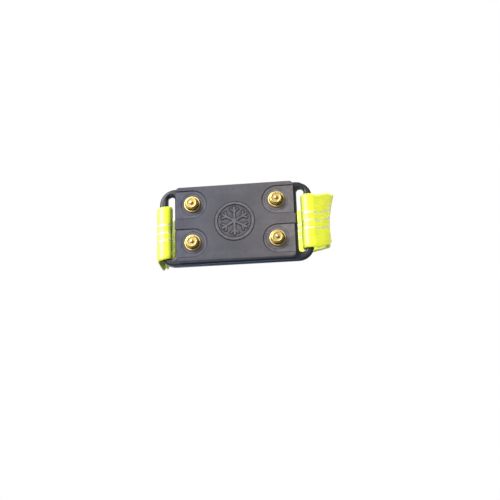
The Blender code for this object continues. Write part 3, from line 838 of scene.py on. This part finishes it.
def stud_rows(turn):
    """Down the stud: shank, flange with a broad rolled rim, hexagon with cut corners, cap round the pin."""
    flat = HEX_CORNER_RADIUS * math.cos(math.pi / 6)

    def hexagon(limit):
        def reach(angle):
            share = (angle - turn) % (math.pi / 3) - math.pi / 6
            return min(flat / math.cos(share), limit)
        return reach

    shank = [(2.0, -3.2), (2.5, -3.7), (2.5, -11.8)]
    flange = [(4.95, -11.8), (5.15, -11.9), (FLANGE_RADIUS, -12.1), (FLANGE_RADIUS, -12.36)]
    for i in range(1, 9):
        angle = math.radians(12 + 78 * i / 8)
        flange.append((FLANGE_RADIUS - 0.5 + 0.5 * math.cos(angle), -12.36 - 0.54 * math.sin(angle)))
    flange += [(4.45, -12.88), (4.28, -12.80), (4.16, -12.68), (hexagon(4.06), -12.56)]
    limits = ((4.16, -12.64), (4.20, -12.80), (4.20, -14.35), (4.10, -14.62), (3.94, -14.88), (3.70, -15.08))
    hexagons = [(hexagon(limit), z) for limit, z in limits]
    cap = [(3.48, -15.14), (3.40, -15.22), (3.40, -15.80), (3.35, -15.98), (3.24, -16.10), (3.08, -16.17)]
    dish = [(2.90, -16.18), (2.74, -16.13), (2.60, -16.03), (2.30, -15.97), (1.70, -15.94)]
    pin_hole = [(1.28, -15.96), (1.18, -15.90), (1.14, -15.6), (1.14, -14.0)]
    return [*shank, *flange, *hexagons, *cap, *dish, *pin_hole]


PIN_ROWS = (
    (1.1, -14.0), (1.1, -16.35), (1.06, -16.55), (0.95, -16.80),
    (0.74, -17.03), (0.45, -17.17), (0.12, GROUND),
)


def make_studs(brass, carbide):
    for i, (name, place) in enumerate(CORNERS.items()):
        rows = stud_rows(math.radians(12 + 17 * i))
        lathe(f"stud_turned_{name}", rows, brass, [f"stud_{name}"], place, painted_shade=stud_painted_shade)
        lathe(f"pin_ground_{name}", PIN_ROWS, carbide, [f"carbide_pin_{name}"], place, 40)


def dress_steel():
    """Materials for the CAD nodes that stay: the backing plate and the tee nuts."""
    plate = metal_material("steel_plate", (0.42, 0.43, 0.44), (0.62, 0.63, 0.64), 0.34, (0.30, 0.27, 0.24))
    zinc = metal_material("steel_zinc", (0.55, 0.56, 0.55), (0.74, 0.74, 0.72), 0.30, (0.42, 0.42, 0.40))
    for name, look in [("backing_plate", plate), *((f"tee_nut_{corner}", zinc) for corner in CORNERS)]:
        piece = frame["nodes"][name]
        for slot in piece.material_slots:
            slot.material = look
        if not piece.material_slots:
            piece.data.materials.append(look)


# ---- the strap's run


def spline(points, step):
    """Points every step along a smooth curve through the given ones."""
    ends = [2 * points[0] - points[1], *points, 2 * points[-1] - points[-2]]
    dense = []
    for a, b, c, d in zip(ends, ends[1:], ends[2:], ends[3:]):
        for i in range(24):
            t = i / 24
            square = (2 * a - 5 * b + 4 * c - d) * t * t
            cube = (3 * b - a - 3 * c + d) * t * t * t
            dense.append(0.5 * (2 * b + (c - a) * t + square + cube))
    dense.append(points[-1].copy())
    return respaced(dense, step)


def respaced(points, step):
    """The polyline again, with its points an equal distance apart."""
    lengths = [0.0]
    for a, b in zip(points, points[1:]):
        lengths.append(lengths[-1] + (b - a).length)
    count = max(2, round(lengths[-1] / step))
    made, at = [], 0
    for i in range(count + 1):
        wanted = lengths[-1] * i / count
        while at < len(points) - 2 and lengths[at + 1] < wanted:
            at += 1
        share = (wanted - lengths[at]) / (lengths[at + 1] - lengths[at])
        made.append(points[at].lerp(points[at + 1], min(share, 1.0)))
    return made


def tangents(points):
    last = len(points) - 1
    return [(points[min(i + 1, last)] - points[max(i - 1, 0)]).normalized() for i in range(last + 1)]


def across(point, tangent):
    """The way across the webbing: along the bars near them, and square to its run higher up."""
    y_axis = Vector((0.0, 1.0, 0.0))
    square = float(eased((point.z - LEVEL_HEIGHT) / 24))
    return (y_axis - square * y_axis.dot(tangent) * tangent).normalized()


def shifted(points, distances):
    """The run moved square to the webbing."""
    return [
        point + across(point, tangent).cross(tangent).normalized() * distance
        for point, tangent, distance in zip(points, tangents(points), distances)
    ]


def fold(centre_x, reach, first, last, steps=20):
    """The middle of the webbing round a bar, between two (degrees about the bar, place along it)."""
    made = []
    for i in range(steps + 1):
        share = i / steps
        angle = math.radians(first[0] + (last[0] - first[0]) * share)
        y = first[1] + (last[1] - first[1]) * float(eased(share))
        made.append(Vector((centre_x + reach * math.cos(angle), y, BAR_Z + FOLD_RADIUS * math.sin(angle))))
    return made


def nearest_index(points, wanted):
    return min(range(len(points)), key=lambda i: (points[i] - wanted).length)


ARCH = [Vector(p) for p in (
    (-51.0, 5.0, 3.0), (-52.2, 4.8, 14.0), (-54.2, 2.6, 28.0), (-57.0, -2.2, 44.0), (-58.2, -8.5, 62.0),
    (-54.8, -14.0, 85.0), (-43.0, -20.0, 104.5), (-23.0, -23.5, 117.0), (0.0, -24.5, 121.0),
    (23.0, -24.5, 117.0), (42.0, -23.5, 105.0), (53.2, -21.5, 88.0), (56.6, -17.5, 67.0),
    (56.7, -14.8, 48.0), (56.1, -11.5, 33.0), (53.8, -7.6, 19.5), (49.4, -3.6, 9.8),
    (44.6, -0.2, 3.6), (42.6, 0.9, -1.0), (42.4, 1.2, -3.9),
)]
TAIL = [Vector(p) for p in ((-53.4, -0.1, 37.0), (-50.2, 3.6, 23.0), (-46.6, 4.5, 11.0), (-43.0, 3.5, 2.0))]
OUTER_LEG = [Vector(p) for p in (
    (52.3, 0.8, -4.1), (55.6, -0.9, -0.2), (58.8, -3.3, 5.4), (60.4, -5.0, 12.0), (60.7, -6.9, 20.0),
    (60.2, -9.6, 32.0), (59.6, -12.6, 44.0),
)]


def bow(point):
    """How far the webbing bows at a point: only where the right leg bears on the side of the shoe."""
    return float(eased((point.z - 3) / 9) * (1 - eased((point.z - 36) / 24))) if point.x > 40 else 0.0


def bowed(share, way_across, side):
    """The webbing's selvedges flare out and draw together where it bows."""
    u = 2 * side / STRAP_WIDTH
    return share * (Vector((2.0 * u * u - 1.5 * u - 1.3, 0.0, 0.0)) - way_across * side * 0.09)


class Run:
    """A stretch of webbing: its centre line, and the way across it and out of it at each point."""

    def __init__(self, points, start=0.0, width=STRAP_WIDTH):
        self.points = points
        self.widths = [width] * len(points)
        self.ways = tangents(points)
        self.across = [across(p, t) for p, t in zip(points, self.ways)]
        self.out = [a.cross(t).normalized() for a, t in zip(self.across, self.ways)]
        self.bows = [bow(p) for p in points]
        self.start = start
        self.step = sum((b - a).length for a, b in zip(points, points[1:])) / (len(points) - 1)

    def part(self, first, last):
        """The same run from one index to another, sharing its end sections with its neighbours."""
        made = Run.__new__(Run)
        for name in ("points", "widths", "ways", "across", "out", "bows"):
            setattr(made, name, getattr(self, name)[first:last + 1])
        made.start, made.step = self.start + first * self.step, self.step
        return made

    @property
    def length(self):
        return self.step * (len(self.points) - 1)

    def at(self, along, side, lift):
        """The point that far along, across and out of the webbing."""
        place = min(max(along / self.step, 0.0), len(self.points) - 1.001)
        i, share = int(place), place % 1
        point = self.points[i].lerp(self.points[i + 1], share)
        way_across, way_out = (given[i].lerp(given[i + 1], share) for given in (self.across, self.out))
        return point + way_across * side + way_out * lift + bowed(self.bows[i], way_across, side)


def webbing(
    name, run, look, nodes, body, thickness=PLY, round_ends=(0.0, 0.0),
    columns=30, fuzz=0.0,
):
    """A closed strip along the run, flat with rounded selvedges, and with a nap on it if fuzz is above 0."""
    even = [2 * i / columns - 1 for i in range(columns + 1)]
    half = [0.45 * math.sin(math.pi / 2 * s) + 0.55 * s for s in even]  # closer together at the sides
    ring = half + half[-2:0:-1]
    points, cloth = [], []
    rows = len(run.points)
    for row in range(rows):
        along = row * run.step
        narrow = 0.0
        for far, reach in ((along, round_ends[0]), (run.length - along, round_ends[1])):
            if far < reach:
                narrow = max(narrow, reach - math.sqrt(reach * reach - (reach - far) ** 2))
        reach = run.widths[row] / 2 - narrow
        for i, s in enumerate(ring):
            thick = thickness / 2 * (1 - abs(s) ** 26) ** 0.5
            if i > columns:
                thick = -thick
            x, y = s * reach, run.start + along
            slack = 0.10 * math.sin(y / 6.1 + 0.35 * x) * math.sin(x / 4.3 + y / 17.0)
            nap = math.sin(5.1 * x + 1.7 * math.sin(3.3 * along))
            nap *= math.sin(4.7 * along + 1.3 * math.sin(2.9 * x))
            lift = thick + slack * (1 - fuzz * 4) + (fuzz * nap if thick > 0 else 0.0)
            place = run.points[row] + run.across[row] * x + run.out[row] * lift
            points.append(tuple(place + bowed(run.bows[row], run.across[row], x)))
            cloth.append((y * MM, x * MM, 1.0 if thick >= 0 else -1.0))
    count = len(ring)
    faces = []
    for row in range(rows - 1):
        faces += band(row * count, count)
    for end in (0, (rows - 1) * count):
        for i in range(columns):
            places = (i, i + 1, (count - i - 1) % count, (count - i) % count)
            cap = tuple(dict.fromkeys(end + place for place in places))
            faces.append(cap if end else cap[::-1])
    given = [("cloth", "FLOAT_VECTOR", cloth)]
    return finished(name, points, faces, look, nodes, body, given, smooth=60)


# ---- stitches and hooks


def stitches(name, lines, run, lift, look, body, pitch=3.0, radius=0.26):
    """Lockstitch along lines of (along, across) points on a run. Each stitch dips in at its ends."""
    points, faces, twist = [], [], []
    sides, rows = 6, 7
    for line in lines:
        for (u0, v0), (u1, v1) in zip(line, line[1:]):
            count = max(1, round(math.hypot(u1 - u0, v1 - v0) / pitch))
            for k in range(count):
                first, last = (k + 0.06) / count, (k + 0.94) / count
                for row in range(rows):
                    share = first + (last - first) * row / (rows - 1)
                    u, v = u0 + (u1 - u0) * share, v0 + (v1 - v0) * share
                    arch = math.sin(math.pi * row / (rows - 1)) ** 0.6
                    centre = run.at(u, v, lift + math.copysign(0.30 * arch - 0.28, lift))
                    beside = run.at(u + (v0 - v1) * 0.01, v + (u1 - u0) * 0.01, 0.0) - run.at(u, v, 0.0)
                    beside.normalize()
                    up = (run.at(u, v, 1.0) - run.at(u, v, 0.0)).normalized()
                    for side in range(sides):
                        angle = 2 * math.pi * side / sides
                        spread = radius * (0.55 + 0.45 * arch)
                        way = beside * math.cos(angle) + up * math.sin(angle)
                        points.append(tuple(centre + way * spread))
                        twist.append(share * count * 2.5 + side / sides)
                start = len(points) - sides * rows
                for row in range(rows - 1):
                    faces += band(start + row * sides, sides)
                faces.append(tuple(range(start, start + sides))[::-1])
                faces.append(tuple(range(len(points) - sides, len(points))))
    return finished(name, points, faces, look, None, body, [("twist", "FLOAT", twist)])


def hooks(name, run, width, lift, look, body, pitch=1.5):
    """Rows of small bent hooks standing on the hook tape."""
    points, faces = [], []
    shape = ((0.0, 0.0, 0.20), (0.05, 0.30, 0.15), (0.22, 0.47, 0.12), (0.42, 0.40, 0.09), (0.47, 0.26, 0.05))
    rows, columns = int((run.length - 4) / pitch), int((width - 4) / pitch)
    for row in range(rows + 1):
        for column in range(columns + 1):
            u = 2 + row * pitch + (0.4 if column % 2 else 0.0)
            v = -width / 2 + 2 + column * pitch
            facing = 1 if column % 2 else -1
            start = len(points)
            for forward, high, thick in shape:
                height = lift + math.copysign(high, lift)
                for du, dv in ((-1, -1), (1, -1), (1, 1), (-1, 1)):
                    points.append(tuple(run.at(u + facing * forward + du * thick, v + dv * thick, height)))
            for ring in range(len(shape) - 1):
                faces += band(start + ring * 4, 4)
            faces.append(tuple(range(len(points) - 4, len(points))))
    return finished(name, points, faces, look, None, body)


# ---- the strap


def main_run():
    """From the sewn tail, round the left bar and over the instep, to the inside of the right slot."""
    gathered = [*spline(TAIL, 1.0), *fold(LEFT_FOLD_X, LEFT_FOLD_REACH, (0, 3.3), (-180, 4.8))]
    path = respaced([*gathered, *spline(ARCH, 1.0)], 1.0)
    run = Run(path)
    let_out = [float(eased(2 * i / len(gathered) - 1)) for i in range(len(path))]
    run.widths = [STRAP_WIDTH - LEFT_PINCH * (1 - share) for share in let_out]
    return run


def closure_lines():
    """The arch's line under the closure, from above the right bar to the left, and the closing ply's line."""
    back = list(reversed(spline(ARCH, 3.0)))
    back = back[nearest_index(back, CLOSURE_START):]
    rise = [float(eased(((point - back[0]).length - 2) / 26)) for point in back]
    return back, shifted(back, [PLY_STEP + (TAB_STEP - PLY_STEP) * share for share in rise])


def closing_run(main, over):
    """From the right slot, round the right bar and up the leg, to the end of the tab."""
    shoulder, tab_end = nearest_index(over, SHOULDER), nearest_index(over, TAB_END)
    turn = respaced([main.points[-1], *fold(BAR_X, FOLD_RADIUS, (182, 1.2), (FOLD_END, 1.2))], 1.0)
    on_shoe = [*over[1:shoulder:4], *over[shoulder:tab_end + 1:3], over[tab_end]]
    up = spline([turn[-1], *OUTER_LEG, *on_shoe], 1.0)
    run = Run(respaced([*turn, *up[1:]], 1.0), main.length)
    # The two runs share the section where they meet, inside the right slot.
    for name in ("points", "ways", "across", "out"):
        getattr(run, name)[0] = getattr(main, name)[-1]
    return run


def make_strap(cloth, thread, loop_pile, hook_pile):
    main = main_run()
    back, over = closure_lines()
    outer = closing_run(main, over)
    shoulder, tab_end, loop_end = (nearest_index(over, place) for place in (SHOULDER, TAB_END, LOOP_END))
    leg = nearest_index(outer.points, LEG_START)
    hinge = nearest_index(outer.points, over[shoulder])
    bend, tab_start = hinge - TAB_BEND, hinge + TAB_BEND
    fold_run, leg_run = outer.part(0, leg), outer.part(leg, bend)
    bend_run, tab_run = outer.part(bend, tab_start), outer.part(tab_start, len(outer.points) - 1)

    strap = webbing("webbing_strap", main, cloth, ["strap"], "cleat")
    turned = webbing("webbing_fold", fold_run, cloth, ["strap_fold"], None)
    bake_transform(turned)
    flap = webbing("webbing_flap", leg_run, cloth, ["strap_flap"], "flap")
    middle = webbing("webbing_tab_bend", bend_run, cloth, None, None)
    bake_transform(middle)
    tab = webbing("webbing_tab", tab_run, cloth, ["closure_tab"], "tab", round_ends=(0.0, 6.0))

    loop_run = tape_run(back[shoulder + 1:loop_end], PATCH_STEP)
    hook_run = tape_run(back[shoulder + 3:tab_end - 1], PATCH_STEP + HOOK_STEP)
    loop = webbing(
        "loop_tape", loop_run, loop_pile, ["loop_patch"], "cleat",
        thickness=0.9, columns=40, fuzz=0.10, round_ends=(1.5, 1.5),
    )
    hook = webbing(
        "hook_tape", hook_run, hook_pile, ["hook_patch"], "tab",
        thickness=0.6, columns=20, round_ends=(1.5, 1.5),
    )

    make_stitching(main, outer, tab_start, thread)
    hooks("hook_tape_hooks", hook_run, PATCH_WIDTH, -0.28, hook_pile, "tab")

    for piece, run, held in (
        (strap, main, ["loop_frame_moulded"]),
        (turned, fold_run, ["loop_frame_moulded"]),
        (flap, leg_run, ["webbing_strap"]),
        (middle, bend_run, ["webbing_strap"]),
        (tab, tab_run, ["loop_tape"]),
        (loop, loop_run, ["webbing_strap"]),
        (hook, hook_run, ["webbing_tab"]),
    ):
        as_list(held)


def tape_run(line, lift):
    return Run(respaced(shifted(line, [lift] * len(line)), 1.0), width=PATCH_WIDTH)


def sewn_box(first, last, half, cross=False):
    lines = [[(first, -half), (last, -half), (last, half), (first, half), (first, -half)]]
    if cross:
        lines += [[(first, -half), (last, half)], [(first, half), (last, -half)]]
    return lines


def make_stitching(main, outer, tab_start, thread):
    """The box and cross through the turned-up tail and the leg that it is sewn to, and the tab's seams."""
    stitches("stitching_tail", sewn_box(3.0, 22.0, 14.5, cross=True), main, -(PLY / 2), thread, "cleat")
    # On the leg, the box is opposite the same places on the tail.
    past_bar = 60
    first, last = (past_bar + nearest_index(main.points[past_bar:], main.points[i]) for i in (22, 3))
    leg_box = sewn_box(first * main.step, last * main.step, 14.5, cross=True)
    stitches("stitching_leg", leg_box, main, -(PLY / 2), thread, "cleat")
    start, end = tab_start * outer.step, outer.length
    seams = [*sewn_box(start + 4, end - 12, 14.2), [(end - 5, -12.0), (end - 5, 12.0)]]
    stitches("stitching_tab", seams, outer, PLY / 2, thread, "tab")


# ---- main


make_camera()
make_world()
sun, sky = make_lights()
make_stage()

block_rubber = rubber_material(
    "rubber_block", (0.057, 0.060, 0.075), (0.090, 0.091, 0.106), 0.54, 2600.0, 0.05, worn=0.35, shine=0.28
)
# The frame's rubber is the block's rubber painted much darker, as painted shade; it is also glossier.
frame_rubber_shaded = rubber_material(
    "rubber_frame_shaded", (0.010, 0.012, 0.018), (0.022, 0.024, 0.032), 0.34, 2200.0, 0.03
)
pad_rubber = rubber_material("rubber_pad", (0.035, 0.036, 0.040), (0.062, 0.063, 0.066), 0.70, 1900.0, 0.06)
brass = metal_material(
    "brass_stud", (0.74, 0.53, 0.16), (0.86, 0.67, 0.27), 0.47, (0.56, 0.36, 0.10), turned=0.002, paints_shade=True
)
carbide = metal_material("carbide_pin", (0.84, 0.74, 0.40), (0.94, 0.86, 0.56), 0.44, turned=0.002)
make_block(block_rubber)
make_frame(frame_rubber_shaded)
make_pad(pad_rubber)
make_studs(brass, carbide)
dress_steel()
loop_pile, hook_pile = pile_material("pile_loop", 2400.0, 0.35), pile_material("pile_hook", 1500.0, 0.10)
make_strap(webbing_material(), thread_material(), loop_pile, hook_pile)

only_on(sun, ("webbing_strap", "webbing_fold", "webbing_flap"))
only_on(sky, ("loop_frame_moulded",))

boxes = {"cad": cad_box, "visual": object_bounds()}
{name: [list(corner) for corner in box] for name, box in boxes.items()}
